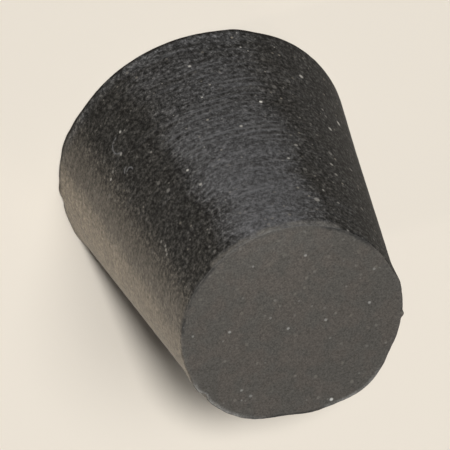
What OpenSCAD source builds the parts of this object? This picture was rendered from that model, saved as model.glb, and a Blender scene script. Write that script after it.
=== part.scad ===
// Solid rubber stopper for the neck of a flask, bottle or test tube.
// It is one moulded piece of rubber, a short cone with no hole through it.
// It stands on its large end, and Z runs up its axis to the small end.

/* [Cone] */
// Diameter of the large end, measured to where its rim would be sharp
large_d = 24; // [14:0.5:60]
// Diameter of the small end, measured to where its rim would be sharp
small_d = 18; // [8:0.5:56]
// Height from the large end to the small end
height = 25; // [10:0.5:60]

/* [Rims] */
// Radius that rounds the rim of the large end
large_rim_r = 0.15; // [0.1:0.05:1.5]
// Radius that rounds the rim of the small end, which goes into the neck first
small_rim_r = 0.15; // [0.1:0.05:1.5]

/* [Hidden] */

$fn = 160;
// Near-black of the rubber
rubber = [0.26, 0.25, 0.23];
// Steps along the arc of each rim
rim_steps = 8;
large_r = large_d / 2;
small_r = small_d / 2;
// Lean of the side towards the axis, in degrees
taper = atan((large_r - small_r) / height);
// Centre of each rim's arc, which touches its flat end and the side
large_rim = [large_r - large_rim_r * (1 + sin(taper)) / cos(taper), large_rim_r];
small_rim = [small_r - small_rim_r * (1 - sin(taper)) / cos(taper), height - small_rim_r];

// Points along an arc of radius r about a centre, between two directions in degrees
function arc(centre, r, from, to) = [
    for (i = [0 : rim_steps])
        let (direction = from + (to - from) * i / rim_steps)
            centre + r * [cos(direction), sin(direction)]
];

// Half of the section through the axis: X is the distance from it, and Y is the height
module section() {
    polygon(concat(
        [[0, 0]],
        arc(large_rim, large_rim_r, -90, taper),
        arc(small_rim, small_rim_r, taper, 90),
        [[0, height]]
    ));
}

module stopper() {
    color(rubber)
        rotate_extrude()
            section();
}

stopper();
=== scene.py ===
"""Solid rubber stopper: a short cone of near-black rubber that stands on its large end.

The body is swept round its axis by Geometry Nodes, on the true section of the part. It wears
two finishes: a side that was ground round and round, and smooth moulded ends.
"""
import math

import bpy
from mathutils import Matrix, Vector


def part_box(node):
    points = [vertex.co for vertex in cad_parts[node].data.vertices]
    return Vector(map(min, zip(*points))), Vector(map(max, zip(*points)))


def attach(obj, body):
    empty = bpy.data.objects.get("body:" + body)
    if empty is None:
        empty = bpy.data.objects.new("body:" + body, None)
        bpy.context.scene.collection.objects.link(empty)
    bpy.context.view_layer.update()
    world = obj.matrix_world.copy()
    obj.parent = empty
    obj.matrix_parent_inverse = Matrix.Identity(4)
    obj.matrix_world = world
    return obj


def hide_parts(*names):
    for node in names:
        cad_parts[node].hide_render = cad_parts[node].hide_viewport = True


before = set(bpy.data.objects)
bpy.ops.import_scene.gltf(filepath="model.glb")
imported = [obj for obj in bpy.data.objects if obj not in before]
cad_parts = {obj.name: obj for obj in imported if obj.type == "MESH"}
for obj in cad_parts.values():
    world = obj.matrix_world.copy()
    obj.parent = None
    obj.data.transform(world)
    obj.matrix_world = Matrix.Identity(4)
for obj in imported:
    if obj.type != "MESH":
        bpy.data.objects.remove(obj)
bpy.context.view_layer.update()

MM = 0.001

# ---------------------------------------------------------------- sizes, from the frame

NODE = "stopper"
LOW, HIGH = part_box(NODE)
HEIGHT = HIGH.z - LOW.z
# Radius that rounds each rim
LARGE_RIM = 0.15 * MM
SMALL_RIM = 0.15 * MM
# How near a height a corner must lie to count as being at it
AT_HEIGHT = 0.001 * MM


def flat_radius(at_height):
    """How far the flat end at this height reaches from the axis."""
    reach = 0.0
    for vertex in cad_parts[NODE].data.vertices:
        if abs(vertex.co.z - at_height) < AT_HEIGHT:
            reach = max(reach, math.hypot(vertex.co.x, vertex.co.y))
    return reach


LARGE_FLAT = flat_radius(LOW.z)
SMALL_FLAT = flat_radius(HIGH.z)
LEAN = math.atan((LARGE_FLAT - SMALL_FLAT) / HEIGHT)
# Radius of each end out to where its rim would be sharp
LARGE_R = LARGE_FLAT + LARGE_RIM * (1 + math.sin(LEAN)) / math.cos(LEAN)
SMALL_R = SMALL_FLAT + SMALL_RIM * (1 - math.sin(LEAN)) / math.cos(LEAN)
MIDDLE = Vector((0, 0, LOW.z + HEIGHT / 2))


def point(azimuth, radius, z):
    """The point at this azimuth in degrees, this far from the axis and this high."""
    angle = math.radians(azimuth)
    return Vector((radius * math.cos(angle), radius * math.sin(angle), z))


def heading(azimuth):
    """The level direction at this azimuth in degrees."""
    return point(azimuth, 1.0, 0.0)


def on_side(azimuth, height):
    """The point of the true cone at this azimuth in degrees and height in millimetres."""
    z = height * MM
    radius = LARGE_R + (SMALL_R - LARGE_R) * z / HEIGHT
    return point(azimuth, radius, LOW.z + z)


def on_end(azimuth, radius):
    """The point of the small end at this azimuth in degrees and radius in millimetres."""
    return point(azimuth, radius * MM, HIGH.z)


# Where the body departs from a true cone: azimuth, height, reach, lift (degrees, then mm)
SWELLS = [
    (190, 0, 8.0, 0.12),
    (213, 0, 5.5, 0.11),
    (235, 0, 2.0, 0.12),
    (262, 0, 7.0, -0.06),
    (330, 0, 6.5, 0.22),
    (320, 0, 1.8, 0.12),
    (311, 0, 2.0, 0.06),
    (341.5, 0, 1.0, 0.10),
    (346.5, 0, 0.6, -0.13),
    (355, 0, 2.0, 0.09),
    (4, 0, 1.9, 0.15),
    (16, 25, 0.8, -0.25),
    (37, 25, 3.0, 0.09),
    (65, 25, 3.0, -0.33),
    (108.5, 25, 3.9, 0.46),
    (151, 24.9, 0.45, 0.17),
]
# The lip that the mould left at the small end: azimuth of its middle, depth down the side, lift
LIP = (90, 2.4, 0.23)
# Name under which the mesh carries each point's distance from the nearest rim
RIM_GAP = "rim gap"
# A face whose normal rises or falls more steeply than this wears the end's finish
END_FACING = 0.8

# ---------------------------------------------------------------- node helpers


def add(tree, kind, inputs=None, **settings):
    """Adds a node with these settings, and fills its inputs with values or other sockets."""
    node = tree.nodes.new(kind)
    for name, value in settings.items():
        setattr(node, name, value)
    for name, value in (inputs or {}).items():
        if isinstance(value, bpy.types.NodeSocket):
            tree.links.new(value, node.inputs[name])
        else:
            node.inputs[name].default_value = value
    return node


def maths(tree, operation, *values, clamp=False):
    """One Math node. Gives its result."""
    inputs = dict(enumerate(values))
    return add(tree, "ShaderNodeMath", inputs, operation=operation, use_clamp=clamp).outputs[0]


def vector_maths(tree, operation, *values):
    """One Vector Math node. Gives its vector, or its value where the result is a number."""
    inputs = dict(enumerate(values))
    if operation == "SCALE":
        inputs["Scale"] = inputs.pop(1)
    node = add(tree, "ShaderNodeVectorMath", inputs, operation=operation)
    numbers = ("LENGTH", "DISTANCE", "DOT_PRODUCT")
    return node.outputs["Value" if operation in numbers else "Vector"]


def ramp(tree, value, from_min, from_max, to_min=0.0, to_max=1.0):
    """Turns one range of values smoothly into another, clamped at both ends."""
    inputs = {
        "Value": value,
        "From Min": from_min,
        "From Max": from_max,
        "To Min": to_min,
        "To Max": to_max,
    }
    node = add(tree, "ShaderNodeMapRange", inputs, interpolation_type="SMOOTHSTEP")
    return node.outputs["Result"]


def noise(tree, vector, scale, detail=2.0, roughness=0.5):
    """A noise pattern, from 0 to 1."""
    inputs = {"Vector": vector, "Scale": scale, "Detail": detail, "Roughness": roughness}
    return add(tree, "ShaderNodeTexNoise", inputs).outputs[0]


def level_and_height(tree, position):
    """The level part of a position, and its height."""
    parts = add(tree, "ShaderNodeSeparateXYZ", {0: position}).outputs
    level = add(tree, "ShaderNodeCombineXYZ", {"X": parts["X"], "Y": parts["Y"]})
    return level.outputs[0], parts["Z"]


def outward_and_height(tree, position):
    """The level direction away from the axis, and the height, of a position."""
    level, height = level_and_height(tree, position)
    return vector_maths(tree, "NORMALIZE", level), height


def round_axis(tree, position, around, along):
    """A place for a pattern that runs round the axis without a seam.

    The pattern is laid on a cylinder: around is its radius, and along multiplies the height.
    """
    outward, height = outward_and_height(tree, position)
    ring = vector_maths(tree, "SCALE", outward, around)
    climb = add(tree, "ShaderNodeCombineXYZ", {"Z": maths(tree, "MULTIPLY", height, along)})
    return vector_maths(tree, "ADD", ring, climb.outputs[0])


# ---------------------------------------------------------------- body, by Geometry Nodes


def group_input(tree, sockets):
    """Gives a tree these inputs. Returns the sockets that stand for them inside it."""
    for name, kind in sockets.items():
        tree.interface.new_socket(name=name, in_out="INPUT", socket_type="NodeSocket" + kind)
    return tree.nodes.new("NodeGroupInput").outputs


def section(tree, given, index):
    """Half the section, from the middle of the small end down the side to the axis again.

    Heights are negative here, because the sweep turns the section over.
    """
    top = maths(tree, "MULTIPLY", given["Height"], -1.0)
    corners = [
        {"Y": top},
        {"X": given["Small Radius"], "Y": top},
        {"X": given["Large Radius"]},
        {},
    ]
    rims = {1: given["Small Rim"], 2: given["Large Rim"]}
    place = add(tree, "GeometryNodeIndexSwitch", data_type="VECTOR")
    bend = add(tree, "GeometryNodeIndexSwitch", data_type="FLOAT")
    for switch in (place, bend):
        while len(switch.index_switch_items) < len(corners):
            switch.index_switch_items.new()
        tree.links.new(index, switch.inputs["Index"])
    for number, corner in enumerate(corners):
        point = add(tree, "ShaderNodeCombineXYZ", corner)
        tree.links.new(point.outputs[0], place.inputs[number + 1])
    for number, rim in rims.items():
        tree.links.new(rim, bend.inputs[number + 1])
    line = add(tree, "GeometryNodeMeshLine", {"Count": len(corners)})
    curve = add(tree, "GeometryNodeMeshToCurve", {"Mesh": line.outputs[0]})
    placed = {"Geometry": curve.outputs[0], "Position": place.outputs[0]}
    sharp = add(tree, "GeometryNodeSetPosition", placed)
    bent = {"Curve": sharp.outputs[0], "Radius": bend.outputs[0], "Count": given["Rim Steps"]}
    return add(tree, "GeometryNodeFilletCurve", bent, mode="POLY").outputs[0]


def divided(tree, given, index, curve):
    """Cuts the section's long stretches: finely up the side, more coarsely across the ends."""
    here = tree.nodes.new("GeometryNodeInputPosition").outputs[0]
    following = add(tree, "GeometryNodeFieldAtIndex", data_type="FLOAT_VECTOR")
    tree.links.new(here, following.inputs["Value"])
    tree.links.new(maths(tree, "ADD", index, 1.0), following.inputs["Index"])
    step = vector_maths(tree, "SUBTRACT", following.outputs[0], here)
    rise = maths(tree, "ABSOLUTE", add(tree, "ShaderNodeSeparateXYZ", {0: step}).outputs["Y"])
    climbs = maths(tree, "GREATER_THAN", rise, given["Large Rim"])
    pitches = {"Factor": climbs, "A": given["End Pitch"], "B": given["Side Pitch"]}
    pitch = add(tree, "ShaderNodeMix", pitches).outputs[0]
    cuts = maths(tree, "FLOOR", maths(tree, "DIVIDE", vector_maths(tree, "LENGTH", step), pitch))
    return add(tree, "GeometryNodeSubdivideCurve", {"Curve": curve, "Cuts": cuts}).outputs[0]


def with_rim_gap(tree, given, mesh):
    """Notes on the mesh how far each point lies from the nearest rim, before the relief moves it."""
    here = tree.nodes.new("GeometryNodeInputPosition").outputs[0]
    level, height = level_and_height(tree, here)
    radius = vector_maths(tree, "LENGTH", level)
    rims = ((0.0, given["Large Radius"]), (given["Height"], given["Small Radius"]))
    gaps = []
    for rim_height, reach in rims:
        beside = maths(tree, "SUBTRACT", radius, reach)
        over = maths(tree, "SUBTRACT", height, rim_height)
        gap = add(tree, "ShaderNodeCombineXYZ", {"X": beside, "Y": over}).outputs[0]
        gaps.append(vector_maths(tree, "LENGTH", gap))
    noted = {"Geometry": mesh, "Name": RIM_GAP, "Value": maths(tree, "MINIMUM", *gaps)}
    store = add(tree, "GeometryNodeStoreNamedAttribute", noted, data_type="FLOAT", domain="POINT")
    return store.outputs[0]


def relief(tree, given, mesh):
    """Moves the surface out and in: swells, dents, grinding rings and a slightly ragged rim."""
    here = tree.nodes.new("GeometryNodeInputPosition").outputs[0]
    outward, height = outward_and_height(tree, here)
    below = maths(tree, "SUBTRACT", given["Height"], height)
    to_rim = maths(tree, "MINIMUM", height, below)

    rings = noise(tree, round_axis(tree, here, 2.5, given["Rings"]), 1.0, detail=3.0)
    rings = maths(tree, "MULTIPLY", maths(tree, "SUBTRACT", rings, 0.5), given["Ring Depth"])
    lift = maths(tree, "MULTIPLY", rings, ramp(tree, to_rim, 0.4 * MM, 1.5 * MM))

    ragged = maths(tree, "SUBTRACT", noise(tree, here, 1.4 / MM, detail=3.0), 0.5)
    ragged = maths(tree, "MULTIPLY", ragged, given["Rim Roughness"])
    at_rim = maths(
        tree,
        "ADD",
        ramp(tree, below, 0.6 * MM, 0.1 * MM),
        ramp(tree, height, 0.8 * MM, 0.1 * MM, 0.0, 0.5),
    )
    lift = maths(tree, "ADD", lift, maths(tree, "MULTIPLY", ragged, at_rim))

    for azimuth, mark_height, reach, mark_lift in SWELLS:
        away = vector_maths(tree, "DISTANCE", here, on_side(azimuth, mark_height))
        swell = ramp(tree, away, reach * MM, 0.0, 0.0, mark_lift * MM)
        lift = maths(tree, "ADD", lift, swell)

    azimuth, depth, lip_lift = LIP
    facing = vector_maths(tree, "DOT_PRODUCT", outward, heading(azimuth))
    rise = ramp(tree, below, depth * MM, 0.0)
    lip = maths(tree, "MULTIPLY", rise, ramp(tree, facing, -0.05, 0.2))
    lift = maths(tree, "MULTIPLY_ADD", lip, lip_lift * MM, lift)

    # The flat ends stay flat: only what is near their edge moves, and only sideways
    level = level_and_height(tree, here)[0]
    share = ramp(tree, vector_maths(tree, "LENGTH", level), 0.0, given["Small Radius"])
    move = vector_maths(tree, "SCALE", outward, maths(tree, "MULTIPLY", lift, share))
    return add(tree, "GeometryNodeSetPosition", {"Geometry": mesh, "Offset": move}).outputs[0]


def body_tree():
    """Sweeps the section round the axis, gives it its relief and sets its two finishes."""
    tree = bpy.data.node_groups.new("stopper body", "GeometryNodeTree")
    given = group_input(
        tree,
        {
            "Large Radius": "Float",
            "Small Radius": "Float",
            "Height": "Float",
            "Large Rim": "Float",
            "Small Rim": "Float",
            "Rim Steps": "Int",
            "Steps Around": "Int",
            "Side Pitch": "Float",
            "End Pitch": "Float",
            "Rings": "Float",
            "Ring Depth": "Float",
            "Rim Roughness": "Float",
            "Side Finish": "Material",
            "End Finish": "Material",
        },
    )
    tree.interface.new_socket(name="Geometry", in_out="OUTPUT", socket_type="NodeSocketGeometry")

    index = tree.nodes.new("GeometryNodeInputIndex").outputs[0]
    profile = divided(tree, given, index, section(tree, given, index))

    # The sweep goes round a circle so small that the section starts and ends on the axis
    pin_hole = 0.001 * MM
    ring = {"Resolution": given["Steps Around"], "Radius": pin_hole}
    axis = add(tree, "GeometryNodeCurvePrimitiveCircle", ring)
    sweep = {"Curve": axis.outputs[0], "Profile Curve": profile}
    swept = add(tree, "GeometryNodeCurveToMesh", sweep)
    joined = {"Geometry": swept.outputs[0], "Distance": 3 * pin_hole}
    closed = add(tree, "GeometryNodeMergeByDistance", joined)
    uneven = relief(tree, given, with_rim_gap(tree, given, closed.outputs[0]))
    smooth = add(tree, "GeometryNodeSetShadeSmooth", {"Geometry": uneven})
    real = add(tree, "GeometryNodeRealizeInstances", {"Geometry": smooth.outputs[0]})

    side = {"Geometry": real.outputs[0], "Material": given["Side Finish"]}
    side = add(tree, "GeometryNodeSetMaterial", side)
    facing = tree.nodes.new("GeometryNodeInputNormal").outputs[0]
    upright = maths(tree, "ABSOLUTE", add(tree, "ShaderNodeSeparateXYZ", {0: facing}).outputs["Z"])
    flat = maths(tree, "GREATER_THAN", upright, END_FACING)
    ends = {"Geometry": side.outputs[0], "Selection": flat, "Material": given["End Finish"]}
    ends = add(tree, "GeometryNodeSetMaterial", ends)
    result = tree.nodes.new("NodeGroupOutput")
    tree.links.new(ends.outputs[0], result.inputs[0])
    return tree


def body(side_finish, end_finish):
    """The stopper's body, as a plain mesh made by its node tree."""
    values = {
        "Large Radius": LARGE_R,
        "Small Radius": SMALL_R,
        "Height": HEIGHT,
        "Large Rim": LARGE_RIM,
        "Small Rim": SMALL_RIM,
        "Rim Steps": 8,
        "Steps Around": 420,
        "Side Pitch": 0.17 * MM,
        "End Pitch": 0.45 * MM,
        "Rings": 1.6 / MM,
        "Ring Depth": 0.04 * MM,
        "Rim Roughness": 0.13 * MM,
        "Side Finish": side_finish,
        "End Finish": end_finish,
    }
    maker = bpy.data.objects.new("maker", bpy.data.meshes.new("maker"))
    bpy.context.scene.collection.objects.link(maker)
    modifier = maker.modifiers.new("body", "NODES")
    modifier.node_group = body_tree()
    for item in modifier.node_group.interface.items_tree:
        if item.name in values:
            modifier[item.identifier] = values[item.name]
    evaluated = maker.evaluated_get(bpy.context.evaluated_depsgraph_get())
    piece = bpy.data.objects.new("rubber_body", bpy.data.meshes.new_from_object(evaluated))
    bpy.data.objects.remove(maker)
    bpy.context.scene.collection.objects.link(piece)
    return piece


# ---------------------------------------------------------------- finishes


def shader_group(name, inputs, outputs):
    """A shader node group with number inputs. Gives its tree, its ends and the object's place."""
    tree = bpy.data.node_groups.new(name, "ShaderNodeTree")
    given = group_input(tree, dict.fromkeys(inputs, "Float"))
    for output in outputs:
        tree.interface.new_socket(name=output, in_out="OUTPUT", socket_type="NodeSocketFloat")
    place = tree.nodes.new("ShaderNodeTexCoord").outputs["Object"]
    return tree, given, tree.nodes.new("NodeGroupOutput").inputs, place


def grain_group():
    """The rubber's texture: a rough, close-set grain over slow clouds."""
    sizes = ["Grain Size", "Cloud Size"]
    tree, given, out, place = shader_group("rubber grain", sizes, ["Grain", "Cloud"])
    per_grain = maths(tree, "DIVIDE", 1.0, given["Grain Size"])
    per_cloud = maths(tree, "DIVIDE", 1.0, given["Cloud Size"])
    tree.links.new(noise(tree, place, per_grain, detail=2.0, roughness=0.8), out["Grain"])
    tree.links.new(noise(tree, place, per_cloud, detail=3.0), out["Cloud"])
    return tree


def speck_group():
    """Small pale grains of filler, of mixed size, strewn at random."""
    values = ["Spacing", "Size", "Share"]
    tree, given, out, place = shader_group("pale specks", values, ["Mask", "Warmth"])
    scale = maths(tree, "DIVIDE", 1.0, given["Spacing"])
    cells = add(tree, "ShaderNodeTexVoronoi", {"Vector": place, "Scale": scale})
    away = maths(tree, "MULTIPLY", cells.outputs["Distance"], given["Spacing"])
    draws = add(tree, "ShaderNodeSeparateColor", {"Color": cells.outputs["Color"]}).outputs
    size = maths(tree, "MULTIPLY", given["Size"], ramp(tree, draws["Green"], 0.0, 1.0, 0.5, 1.0))
    dot = ramp(tree, maths(tree, "DIVIDE", away, size), 1.0, 0.5)
    chosen = maths(tree, "LESS_THAN", draws["Red"], given["Share"])
    strength = ramp(tree, draws["Blue"], 0.0, 1.0, 0.2, 1.0)
    mask = maths(tree, "MULTIPLY", maths(tree, "MULTIPLY", dot, chosen), strength)
    tree.links.new(mask, out["Mask"])
    tree.links.new(draws["Green"], out["Warmth"])
    return tree


def rim_group():
    """A band along each rim that breaks up, for wear or dirt."""
    tree, given, out, place = shader_group("rim band", ["Width"], ["Small Rim", "Large Rim"])
    gap = add(tree, "ShaderNodeAttribute", attribute_name=RIM_GAP).outputs["Fac"]
    band = ramp(tree, maths(tree, "DIVIDE", gap, given["Width"]), 1.0, 0.3)
    broken = ramp(tree, noise(tree, place, 0.9 / MM, detail=3.0), 0.35, 0.6, 0.35, 1.0)
    band = maths(tree, "MULTIPLY", band, broken)
    height = add(tree, "ShaderNodeSeparateXYZ", {0: place}).outputs["Z"]
    upper = maths(tree, "GREATER_THAN", height, MIDDLE.z)
    lower = maths(tree, "SUBTRACT", 1.0, upper)
    tree.links.new(maths(tree, "MULTIPLY", band, upper), out["Small Rim"])
    tree.links.new(maths(tree, "MULTIPLY", band, lower), out["Large Rim"])
    return tree


def grinding_group():
    """Marks that the grinding left: long thin arcs round the side, which waver and break up.

    Some are strewn at random, and some lie side by side at one spacing.
    """
    values = ["Pitch", "Waver", "Spacing"]
    tree, given, out, place = shader_group("grinding marks", values, ["Mark", "Streak", "Ridge"])
    wander = maths(tree, "SUBTRACT", noise(tree, place, 0.12 / MM, detail=2.0), 0.5)
    lift = maths(tree, "MULTIPLY", wander, given["Waver"])
    shift = add(tree, "ShaderNodeCombineXYZ", {"Z": lift}).outputs[0]
    wavering = vector_maths(tree, "ADD", place, shift)
    along = maths(tree, "DIVIDE", 1.0, given["Pitch"])
    marks = noise(tree, round_axis(tree, wavering, 2.6, along), 1.0, detail=4.0, roughness=0.68)
    strength = ramp(tree, noise(tree, place, 0.35 / MM, detail=3.0), 0.38, 0.62, 0.25, 1.0)
    streak = maths(tree, "MULTIPLY", ramp(tree, marks, 0.54, 0.64), strength)
    height = add(tree, "ShaderNodeSeparateXYZ", {0: wavering}).outputs["Z"]
    turns = maths(tree, "DIVIDE", height, given["Spacing"])
    turns = maths(tree, "MULTIPLY_ADD", marks, 0.8, turns)
    ridge = ramp(tree, maths(tree, "SINE", maths(tree, "MULTIPLY", turns, math.tau)), 0.1, 1.0)
    shown = ramp(tree, noise(tree, place, 0.4 / MM, detail=3.0), 0.42, 0.64)
    tree.links.new(marks, out["Mark"])
    tree.links.new(streak, out["Streak"])
    tree.links.new(maths(tree, "MULTIPLY", ridge, shown), out["Ridge"])
    return tree


# Pale grains that stand out: azimuth, height on the side or radius on the end, size, strength
SIDE_GRAINS = [
    (236, 9.4, 0.21, 1.0),
    (192, 7.7, 0.34, 0.75),
    (258, 3.7, 0.21, 0.6),
    (279, 14.5, 0.18, 0.6),
    (202, 10.2, 0.30, 0.6),
    (210, 4.4, 0.30, 0.6),
    (259, 7.7, 0.16, 0.5),
    (235, 2.3, 0.15, 0.5),
    (249, 12.2, 0.20, 0.5),
    (296, 5.7, 0.20, 0.45),
    (277, 16.7, 0.22, 0.4),
    (234, 16.6, 0.20, 0.4),
    (222, 20.2, 0.17, 0.4),
    (312, 8.1, 0.20, 0.4),
    (301, 7.5, 0.24, 0.3),
    (307.4, 18.8, 0.20, 0.22),
    (308.4, 19.1, 0.20, 0.22),
    (309.4, 19.5, 0.20, 0.22),
]
END_GRAINS = [
    (90, 8.7, 0.22, 1.0),
    (337, 5.0, 0.20, 0.4),
    (47, 0.6, 0.20, 0.4),
    (163, 6.5, 0.20, 0.4),
    (236, 6.2, 0.20, 0.4),
    (151, 2.9, 0.20, 0.35),
    (32, 7.0, 0.19, 0.3),
    (275, 6.6, 0.17, 0.25),
    (40, 7.2, 0.22, 0.25),
    (186, 7.8, 0.19, 0.25),
    (336, 8.0, 0.18, 0.25),
    (314, 1.8, 0.19, 0.2),
    (36, 7.8, 0.16, 0.2),
]
# Small curved scuffs: azimuth and height of the middle, size, azimuth and height they bend round
SCUFFS = [
    (299.0, 6.6, 0.84, 303, 6.4),
    (302.7, 9.3, 0.3, 305, 9.0),
    (301.9, 9.7, 0.35, 300, 9.2),
]
# Pale ring marks that stand out: azimuth of the middle, half width in degrees, height, strength
RING_MARKS = [
    (257, 12, 19.9, 0.7),
    (254, 16, 12.4, 0.5),
    (267, 12, 12.9, 0.35),
    (272, 12, 9.9, 0.35),
]


def ring_group():
    """Single pale rings that show for part of the way round."""
    tree, given, out, place = shader_group("ring marks", ["Width"], ["Mask"])
    outward, height = outward_and_height(tree, place)
    wander = maths(tree, "SUBTRACT", noise(tree, place, 0.3 / MM, detail=1.0), 0.5)
    height = maths(tree, "MULTIPLY_ADD", wander, 0.4 * MM, height)
    total = 0.0
    for azimuth, half_width, level, strength in RING_MARKS:
        facing = vector_maths(tree, "DOT_PRODUCT", outward, heading(azimuth))
        reach = ramp(tree, facing, math.cos(math.radians(half_width)), 1.0, 0.0, strength)
        aside = maths(tree, "ABSOLUTE", maths(tree, "SUBTRACT", height, LOW.z + level * MM))
        line = maths(tree, "MULTIPLY", ramp(tree, aside, given["Width"], 0.0), reach)
        total = maths(tree, "MAXIMUM", line, total)
    tree.links.new(total, out["Mask"])
    return tree


def marks_group(name, dots, arcs):
    """Marks at chosen points: round pale grains, and thin curved scuffs."""
    tree, given, out, place = shader_group(name, ["Scuff Width"], ["Grains", "Scuffs"])
    uneven = noise(tree, place, 5 / MM, detail=1.0)
    grains, scuffs = 0.0, 0.0
    for point, size, strength in dots:
        away = vector_maths(tree, "DISTANCE", place, point)
        away = maths(tree, "MULTIPLY_ADD", uneven, 0.05 * MM, away)
        dot = ramp(tree, away, size * MM, 0.4 * size * MM, 0.0, strength)
        grains = maths(tree, "MAXIMUM", dot, grains)
    for point, size, towards in arcs:
        offset = vector_maths(tree, "SUBTRACT", place, point)
        astray = maths(tree, "SUBTRACT", vector_maths(tree, "LENGTH", offset), size * MM)
        line = ramp(tree, maths(tree, "ABSOLUTE", astray), given["Scuff Width"], 0.0)
        side = vector_maths(tree, "DOT_PRODUCT", offset, (towards - point).normalized())
        kept = ramp(tree, side, 0.0, 0.3 * size * MM)
        scuffs = maths(tree, "MAXIMUM", maths(tree, "MULTIPLY", line, kept), scuffs)
    tree.links.new(grains, out["Grains"])
    tree.links.new(maths(tree, "MULTIPLY", scuffs, ramp(tree, uneven, 0.35, 0.5)), out["Scuffs"])
    return tree


# Patches round the side: azimuth and half width in degrees, strength at the large and small end
# The bloom patch at azimuth 255 is a painted sheen, a lighter band where light would shine; the
# others are bloom
BLOOM_AND_SHEEN = [
    (255, 32, 0.35, 0.93),
    (204, 32, 0.13, 0.12),
    (20, 30, 0.3, 0.5),
    (98, 42, 0.7, 0.5),
    (162, 24, 0.4, 0.2),
]
# The dust patch at azimuth 352 is a painted reflection of the pale floor; the others are dust
DUST_AND_REFLECTION = [(352, 48, 1.0, 0.9), (60, 30, 0.3, 0.5), (128, 26, 0.5, 0.3)]
BURNISH = [(352, 52, 1.0, 1.0), (75, 40, 0.4, 0.6)]
RIDGED = [(262, 38, 1.0, 1.0), (150, 50, 0.5, 0.5), (30, 40, 0.5, 0.5)]
# Where the small end's rim has a painted highlight along its lip, and where the rim is dark, at
# azimuth 66 a painted shadow along its lower edge
PAINTED_LIP_HIGHLIGHT = [(28, 28, 0.0, 1.0), (102, 20, 0.0, 1.0)]
# The dark at azimuth 66 is a painted shadow along the lower edge; the others darken the rim
DARK_RIM_AND_SHADOW = [(66, 24, 0.0, 1.0), (314, 25, 0.0, 1.0), (212, 22, 0.0, 0.6)]
# Where the small end's rim is worn round, and where that wear is paler
WORN_RIM = [(257, 40, 0.0, 1.0)]
WORN_PALE = [(228, 62, 1.0, 1.0)]
# Middle of the painted sheen that makes part of the small end a little paler: azimuth, radius
PAINTED_SHEEN_ON_END = (258, 9.0)
# Where the large end's rim is rubbed
RUBBED_RIM = [(260, 38, 1.0, 1.0), (302, 30, 0.7, 0.7), (120, 40, 0.6, 0.6)]
# Where the side has fewer faint specks, and where it has more large ones
CLEANER = [(296, 30, 1.0, 1.0)]
SPECKLED = [(208, 34, 1.0, 1.0), (300, 26, 0.5, 0.5), (60, 60, 0.6, 0.6)]


def patch_group(name, patches):
    """Soft patches with uneven edges where the rubber is bloomed, dusty, worn or dark, or where a
    sheen, reflection, highlight or shadow is painted.
    """
    tree, given, out, place = shader_group(name, ["Unevenness"], ["Mask"])
    outward, height = outward_and_height(tree, place)
    cloud = noise(tree, place, 0.25 / MM, detail=2.0, roughness=0.55)
    drift = maths(tree, "MULTIPLY", maths(tree, "SUBTRACT", cloud, 0.5), given["Unevenness"])
    total = 0.0
    for azimuth, half_width, large_end, small_end in patches:
        facing = vector_maths(tree, "DOT_PRODUCT", outward, heading(azimuth))
        facing = maths(tree, "ADD", facing, drift)
        patch = ramp(tree, facing, math.cos(math.radians(half_width)), 1.0)
        strength = ramp(tree, height, LOW.z, HIGH.z, large_end, small_end)
        total = maths(tree, "MULTIPLY_ADD", patch, strength, total)
    tree.links.new(maths(tree, "ADD", total, 0.0, clamp=True), out["Mask"])
    return tree


GRAIN = grain_group()
SPECKS = speck_group()
RIMS = rim_group()
GRINDING = grinding_group()
# Masks that both finishes use
DARKENED_AND_SHADED = patch_group("dark rim and painted shadow", DARK_RIM_AND_SHADOW)
WORN = patch_group("worn rim", WORN_RIM)


def placed(tree, group, **values):
    """Places a group in a material with its own values. Gives its outputs."""
    node = add(tree, "ShaderNodeGroup", node_tree=group)
    for name, value in values.items():
        node.inputs[name.replace("_", " ").title()].default_value = value
    return node.outputs


def patched(tree, name, patches, unevenness=0.1):
    """The mask of patches that only one finish has."""
    return placed(tree, patch_group(name, patches), unevenness=unevenness)["Mask"]


def rim_band(tree, rim, width):
    """A broken band along the small or the large rim, this many millimetres wide."""
    return placed(tree, RIMS, width=width * MM)[rim]


def mix(tree, factor, first, second):
    """Blends two colours, each a colour value or a socket."""
    node = add(tree, "ShaderNodeMix", data_type="RGBA")
    for name, value in (("Factor_Float", factor), ("A_Color", first), ("B_Color", second)):
        socket = next(s for s in node.inputs if s.identifier == name)
        if isinstance(value, bpy.types.NodeSocket):
            tree.links.new(value, socket)
        else:
            socket.default_value = (*value, 1) if isinstance(value, tuple) else value
    return next(s for s in node.outputs if s.identifier == "Result_Color")


def product(tree, *values):
    """The product of these values."""
    result = values[0]
    for value in values[1:]:
        result = maths(tree, "MULTIPLY", result, value)
    return result


def rubber(name, specular):
    """An empty rubber material. Gives the material, its tree, its shader and the object's place."""
    material = bpy.data.materials.new(name)
    material.use_nodes = True
    tree = material.node_tree
    shader = tree.nodes["Principled BSDF"]
    shader.inputs["Specular IOR Level"].default_value = specular
    return material, tree, shader, tree.nodes.new("ShaderNodeTexCoord").outputs["Object"]


def bump(tree, shader, height, depth):
    """Gives the shader this height as bump. The depth is that of its full range."""
    node = add(tree, "ShaderNodeBump", {"Height": height, "Distance": depth, "Strength": 1.0})
    tree.links.new(node.outputs[0], shader.inputs["Normal"])


# Colours of the rubber, of what lies on it, of how it wears, and of the sheen, reflection and
# highlight painted on it
SIDE_DARK = (0.0140, 0.0138, 0.0135)
SIDE_WARM = (0.0175, 0.0162, 0.0142)
# Bluish grey of the bloom, also the colour of the painted sheen
SIDE_BLOOM_AND_SHEEN = (0.0770, 0.0772, 0.0825)
SIDE_STREAK = (0.102, 0.103, 0.109)
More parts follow.
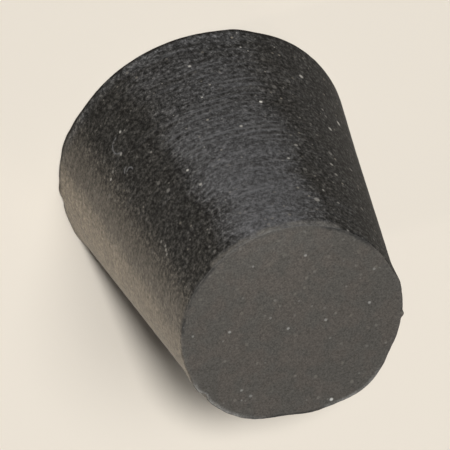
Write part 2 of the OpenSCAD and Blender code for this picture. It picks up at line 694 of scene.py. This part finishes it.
# Dust, also the painted reflection of the floor; the warmer tone below is that reflection at its
# brightest
SIDE_DUST_AND_REFLECTION = (0.105, 0.092, 0.077)
SIDE_PAINTED_REFLECTION = (0.203, 0.173, 0.136)
WORN_GREY = (0.064, 0.060, 0.055)
WORN_LIGHT = (0.110, 0.105, 0.099)
END_GREY = (0.0815, 0.0740, 0.0650)
END_BROWN = (0.0850, 0.0738, 0.0638)
# Worn edge of the end, also the colour of the painted sheen on it
END_RIM_WEAR_AND_SHEEN = (0.108, 0.102, 0.095)
# Painted highlight on the lip
END_LIP_HIGHLIGHT = (0.200, 0.192, 0.180)
# Darker band along the large rim
LARGE_RIM_DARK = (0.0060, 0.0050, 0.0042)
SPECK_WHITE = (0.36, 0.345, 0.325)
SPECK_TAN = (0.21, 0.188, 0.155)
GRAIN_WHITE = (0.52, 0.505, 0.475)
FLOOR_CREAM = (0.83, 0.75, 0.655)


def shaded(tree, colour, shade):
    """A colour made darker or lighter by a number."""
    return vector_maths(tree, "SCALE", colour, shade)


def grained(tree, grain, contrast):
    """How dark or light the grain makes a colour, at this contrast."""
    return maths(tree, "POWER", maths(tree, "MULTIPLY", grain, 2.0), contrast)


def specked(tree, colour, mask, warmth):
    """Lays pale specks, from white to tan, over a colour."""
    return mix(tree, mask, colour, mix(tree, warmth, SPECK_WHITE, SPECK_TAN))


def side_rubber(tree, grain, grinding, bloom_and_sheen, dust_and_reflection):
    """The side's colour: near-black rubber with bloom and a painted sheen, and with dust and a
    painted reflection of the floor.
    """
    thin = ramp(tree, bloom_and_sheen, 0.5, 0.95, 0.5, 0.72)
    bloom_and_sheen_shown = product(tree, bloom_and_sheen, ramp(tree, grinding["Mark"], 0.35, 0.62, thin, 1.0))
    colour = mix(tree, grain["Cloud"], SIDE_DARK, SIDE_WARM)
    colour = mix(tree, bloom_and_sheen_shown, colour, SIDE_BLOOM_AND_SHEEN)
    dust_and_reflection_shown = product(tree, dust_and_reflection, ramp(tree, grinding["Mark"], 0.35, 0.65, 0.7, 1.0))
    # The strongest part of the dust mask takes the tone of the painted floor reflection
    dust_and_reflection_tone = mix(tree, ramp(tree, dust_and_reflection, 0.8, 1.0), SIDE_DUST_AND_REFLECTION, SIDE_PAINTED_REFLECTION)
    return mix(tree, dust_and_reflection_shown, colour, dust_and_reflection_tone)


def with_rim_tones(tree, colour):
    """Greys the small rim or darkens it, in part as a painted shadow, and rubs parts of the large
    rim paler.
    """
    small_rim = rim_band(tree, "Small Rim", 0.5)
    dark_rim_and_shadow = placed(tree, DARKENED_AND_SHADED, unevenness=0.1)["Mask"]
    greyed = product(tree, small_rim, ramp(tree, dark_rim_and_shadow, 0.0, 0.5, 0.4, 0.0))
    colour = mix(tree, greyed, colour, END_GREY)
    # Darkens the small rim; along its lower edge this is a painted shadow
    colour = mix(tree, product(tree, small_rim, dark_rim_and_shadow, 0.6), colour, SIDE_DARK)
    rubbed_rim = patched(tree, "rubbed rim", RUBBED_RIM)
    rubbed = product(tree, rim_band(tree, "Large Rim", 1.5), rubbed_rim, 0.4)
    return mix(tree, rubbed, colour, SIDE_STREAK)


def side_contrast(tree, bloom_and_sheen, dust_and_reflection):
    """How strongly the grain shows: less where there is dust and painted reflection, or bloom and
    painted sheen.
    """
    contrast = ramp(tree, dust_and_reflection, 0.0, 0.6, 4.0, 1.5)
    return product(tree, contrast, ramp(tree, bloom_and_sheen, 0.1, 1.0, 1.0, 0.38))


def with_grinding(tree, colour, place, grinding, bloom_and_sheen):
    """Adds the streaks, the ridges side by side and the single rings."""
    streaks = product(tree, grinding["Streak"], ramp(tree, bloom_and_sheen, 0.0, 0.5, 0.12, 0.4))
    streaks = product(tree, streaks, ramp(tree, bloom_and_sheen, 0.5, 0.9, 1.0, 0.5))
    colour = mix(tree, streaks, colour, SIDE_STREAK)

    height = add(tree, "ShaderNodeSeparateXYZ", {0: place}).outputs["Z"]
    above = ramp(tree, height, 2 * MM, 7 * MM)
    below = ramp(tree, height, 18 * MM, 13 * MM)
    ridged = product(tree, patched(tree, "ridged", RIDGED), above, below)
    ridged = product(tree, ridged, ramp(tree, bloom_and_sheen, 0.0, 0.45, 0.12, 0.42))
    colour = mix(tree, product(tree, grinding["Ridge"], ridged), colour, SIDE_STREAK)

    rings = placed(tree, ring_group(), width=0.2 * MM)["Mask"]
    return mix(tree, rings, colour, SIDE_STREAK)


def with_side_specks(tree, colour, bloom_and_sheen, dust_and_reflection):
    """Adds the specks: faint ones all round, and larger ones in patches."""
    specks = placed(tree, SPECKS, spacing=0.55 * MM, size=0.18 * MM, share=0.4)
    faint = product(tree, specks["Mask"], specks["Mask"], ramp(tree, dust_and_reflection, 0.0, 1.0, 0.72, 0.4))
    faint = product(tree, faint, ramp(tree, bloom_and_sheen, 0.3, 1.0, 1.0, 0.4))
    cleaner = patched(tree, "cleaner", CLEANER)
    faint = product(tree, faint, ramp(tree, cleaner, 0.0, 0.5, 1.0, 0.5))
    colour = specked(tree, colour, faint, specks["Warmth"])

    speckled = patched(tree, "speckled", SPECKLED)
    large = placed(tree, SPECKS, spacing=1.15 * MM, size=0.3 * MM, share=0.6)["Mask"]
    return mix(tree, product(tree, large, speckled, 0.55), colour, SPECK_WHITE)


def with_worn_rim(tree, colour, grain):
    """Wears the small end's rim down to grey, paler on one side."""
    worn_rim = placed(tree, WORN, unevenness=0.1)["Mask"]
    paler = patched(tree, "paler worn rim", WORN_PALE, unevenness=0.0)
    worn = product(tree, rim_band(tree, "Small Rim", 0.78), ramp(tree, worn_rim, 0.0, 0.3))
    tone = mix(tree, paler, WORN_GREY, WORN_LIGHT)
    tone = shaded(tree, tone, grained(tree, grain["Grain"], 1.0))
    return mix(tree, worn, colour, tone)


def with_side_marks(tree, colour):
    """Adds the grains that stand out, the scuffs and a darker band along the large rim."""
    dots = [(on_side(*spot[:2]), *spot[2:]) for spot in SIDE_GRAINS]
    arcs = [(on_side(*scuff[:2]), scuff[2], on_side(*scuff[3:])) for scuff in SCUFFS]
    marks = placed(tree, marks_group("side marks", dots, arcs), scuff_width=0.12 * MM)
    colour = mix(tree, marks["Grains"], colour, GRAIN_WHITE)
    colour = mix(tree, product(tree, marks["Scuffs"], 0.85), colour, SIDE_STREAK)
    return mix(tree, rim_band(tree, "Large Rim", 0.6), colour, LARGE_RIM_DARK)


def ground_side():
    """The side: near-black, ground round and round, with bloom, dust and pale specks, a painted
    sheen and a painted reflection of the floor.
    """
    material, tree, shader, place = rubber("ground rubber side", 0.1)
    grain = placed(tree, GRAIN, grain_size=0.32 * MM, cloud_size=5 * MM)
    grinding = placed(tree, GRINDING, pitch=0.34 * MM, waver=1.6 * MM, spacing=0.6 * MM)
    bloom_and_sheen = patched(tree, "bloom_and_sheen", BLOOM_AND_SHEEN, unevenness=0.13)
    dust_and_reflection = patched(tree, "dust_and_reflection", DUST_AND_REFLECTION, unevenness=0.05)

    colour = side_rubber(tree, grain, grinding, bloom_and_sheen, dust_and_reflection)
    colour = with_rim_tones(tree, colour)
    contrast = side_contrast(tree, bloom_and_sheen, dust_and_reflection)
    colour = shaded(tree, colour, grained(tree, grain["Grain"], contrast))
    colour = with_grinding(tree, colour, place, grinding, bloom_and_sheen)
    colour = with_side_specks(tree, colour, bloom_and_sheen, dust_and_reflection)
    colour = with_worn_rim(tree, colour, grain)
    colour = with_side_marks(tree, colour)
    tree.links.new(colour, shader.inputs["Base Color"])

    burnish = patched(tree, "burnish", BURNISH, unevenness=0.05)
    rough = ramp(tree, burnish, 0.0, 1.0, 0.62, 0.38)
    rough = maths(tree, "MULTIPLY_ADD", ramp(tree, grinding["Mark"], 0.3, 0.7), 0.08, rough)
    tree.links.new(rough, shader.inputs["Roughness"])
    depth = maths(tree, "MULTIPLY_ADD", grain["Grain"], 0.8, grinding["Mark"])
    bump(tree, shader, depth, 0.045 * MM)
    return material


def with_end_rims(tree, colour):
    """Wears the end's edge grey, paints a sheen beside the worn part and a highlight on the lip, and
    darkens the edge in places, along the lower edge as a painted shadow.
    """
    wear = rim_band(tree, "Small Rim", 0.6)
    edge = rim_band(tree, "Small Rim", 0.4)
    # A painted highlight along the lip
    lip_highlight = patched(tree, "painted lip highlight", PAINTED_LIP_HIGHLIGHT)
    dark_rim_and_shadow = placed(tree, DARKENED_AND_SHADED, unevenness=0.1)["Mask"]
    worn_rim = placed(tree, WORN, unevenness=0.1)["Mask"]
    unworn = ramp(tree, worn_rim, 0.0, 0.3, 0.22, 0.0)
    colour = mix(tree, product(tree, wear, unworn), colour, END_RIM_WEAR_AND_SHEEN)
    # A painted sheen on the end beside the worn part of the rim
    painted_sheen = product(tree, rim_band(tree, "Small Rim", 3.0), worn_rim, 0.2)
    colour = mix(tree, painted_sheen, colour, END_RIM_WEAR_AND_SHEEN)
    edge_tones = [
        (ramp(tree, worn_rim, 0.0, 0.3, 0.0, 0.8), WORN_GREY),
        (ramp(tree, lip_highlight, 0.0, 0.4), END_LIP_HIGHLIGHT),
        (ramp(tree, dark_rim_and_shadow, 0.0, 0.4, 0.0, 0.7), SIDE_DARK),
    ]
    for shown, tone in edge_tones:
        colour = mix(tree, product(tree, edge, shown), colour, tone)
    return colour


def end_shade(tree, place, grain):
    """How dark or light the end is: its grain and clouds, and painted light, lighter towards one
    side with a painted sheen near that edge.
    """
    shade = grained(tree, grain["Grain"], 1.0)
    # Painted light: the end grows lighter towards one side
    across = add(tree, "ShaderNodeSeparateXYZ", {0: place}).outputs["Y"]
    shade = product(tree, shade, ramp(tree, across, -SMALL_R, SMALL_R, 1.07, 0.96))
    shade = product(tree, shade, ramp(tree, grain["Cloud"], 0.35, 0.65, 0.97, 1.03))
    # A painted sheen near the edge on that side
    away = vector_maths(tree, "DISTANCE", place, on_end(*PAINTED_SHEEN_ON_END))
    return product(tree, shade, ramp(tree, away, SMALL_R, 0.0, 1.0, 1.11))


def moulded_end():
    """The ends: even, matt dark grey, with fine grain and a few specks, and with a painted sheen, a
    painted lip highlight and a painted shadow along the lower edge.
    """
    material, tree, shader, place = rubber("moulded rubber end", 0.3)
    grain = placed(tree, GRAIN, grain_size=0.15 * MM, cloud_size=1.6 * MM)
    specks = placed(tree, SPECKS, spacing=0.75 * MM, size=0.24 * MM, share=0.4)
    dots = [(on_end(*spot[:2]), *spot[2:]) for spot in END_GRAINS]
    marks = placed(tree, marks_group("end marks", dots, []), scuff_width=0.09 * MM)

    colour = mix(tree, ramp(tree, grain["Cloud"], 0.4, 0.6), END_GREY, END_BROWN)
    colour = with_end_rims(tree, colour)
    colour = shaded(tree, colour, end_shade(tree, place, grain))
    faint = product(tree, specks["Mask"], 0.5)
    colour = specked(tree, colour, faint, specks["Warmth"])
    colour = mix(tree, marks["Grains"], colour, GRAIN_WHITE)
    tree.links.new(colour, shader.inputs["Base Color"])
    tree.links.new(ramp(tree, grain["Grain"], 0.3, 0.7, 0.62, 0.7), shader.inputs["Roughness"])
    bump(tree, shader, grain["Grain"], 0.015 * MM)
    return material


stopper = body(ground_side(), moulded_end())
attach(stopper, "root")
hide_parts(NODE)

# ---------------------------------------------------------------- floor, light and camera


def floor():
    """A plain pale floor, whose far edge turns up a little so that it fills every view."""
    middle, flat, edge = 0.3, 1.0, 1.25
    lift = 0.06
    steps_round, steps_up = 96, 12
    rings = [(middle, 0.0), (flat, 0.0)]
    for step in range(1, steps_up + 1):
        share = step / steps_up
        rings.append((flat + (edge - flat) * share, lift * share * share))
    vertices = [(0, 0, 0)]
    for radius, height in rings:
        for turn in range(steps_round):
            angle = math.tau * turn / steps_round
            vertices.append((radius * math.cos(angle), radius * math.sin(angle), height))
    faces = []
    for turn in range(steps_round):
        following = (turn + 1) % steps_round
        faces.append((0, 1 + turn, 1 + following))
        for ring in range(len(rings) - 1):
            inner, outer = 1 + ring * steps_round, 1 + (ring + 1) * steps_round
            faces.append((inner + turn, outer + turn, outer + following, inner + following))
    mesh = bpy.data.meshes.new("floor")
    mesh.from_pydata([(x, y, LOW.z + z) for x, y, z in vertices], [], faces)
    mesh.shade_smooth()
    material = bpy.data.materials.new("pale floor")
    material.use_nodes = True
    shader = material.node_tree.nodes["Principled BSDF"]
    shader.inputs["Base Color"].default_value = (*FLOOR_CREAM, 1)
    shader.inputs["Roughness"].default_value = 0.9
    shader.inputs["Specular IOR Level"].default_value = 0.1
    mesh.materials.append(material)
    piece = bpy.data.objects.new("floor", mesh)
    bpy.context.scene.collection.objects.link(piece)


def sun(name, azimuth, elevation, width, level, colour):
    """A wide, soft light from far away.

    A level of 1 lights a surface that faces it to its own colour.
    """
    lamp = bpy.data.lights.new(name, "SUN")
    lamp.energy = level * math.pi
    lamp.angle = math.radians(width)
    lamp.color = colour
    piece = bpy.data.objects.new(name, lamp)
    up = math.radians(elevation)
    towards = point(azimuth, math.cos(up), math.sin(up))
    piece.rotation_mode = "QUATERNION"
    piece.rotation_quaternion = towards.to_track_quat("Z", "Y")
    bpy.context.scene.collection.objects.link(piece)


def lights():
    """Two high keys, a low warm fill, a weak back light and a dim studio all round."""
    sun("key", 261, 54, 7, 0.86, (0.98, 1.0, 1.0))
    sun("second key", 236, 61, 20, 0.29, (0.98, 1.0, 1.0))
    sun("side fill", 343, 2.5, 4, 0.90, (1.0, 0.95, 0.87))
    sun("back light", 105, 10, 18, 0.12, (1.0, 0.98, 0.95))
    world = bpy.data.worlds.new("studio")
    world.use_nodes = True
    background = world.node_tree.nodes["Background"]
    background.inputs["Color"].default_value = (1.0, 0.97, 0.93, 1)
    background.inputs["Strength"].default_value = 0.025
    bpy.context.scene.world = world


def camera():
    """Looks at the small end from above its front, turned so that the cone lies across the view."""
    tilt = math.radians(36.66)      # between the line of sight and the axis
    turn = math.radians(152.2)      # of the camera about the line of sight
    distance = 0.63
    aside, above = 1.715 * MM, 1.065 * MM   # of the view's middle from the body's middle
    data = bpy.data.cameras.new("camera")
    data.lens = 630.5
    data.sensor_width = 36
    piece = bpy.data.objects.new("camera", data)
    facing = Matrix.Rotation(tilt, 3, "X") @ Matrix.Rotation(turn, 3, "Z")
    right, up, back = facing.col
    location = MIDDLE + distance * back
    aim = MIDDLE - aside * right + above * up
    back = (location - aim).normalized()
    right = up.cross(back).normalized()
    up = back.cross(right)
    placing = Matrix((right, up, back)).transposed().to_4x4()
    placing.translation = location
    piece.matrix_world = placing
    bpy.context.scene.collection.objects.link(piece)
    bpy.context.scene.camera = piece


floor()
lights()
camera()
bpy.context.scene.view_settings.view_transform = "Standard"
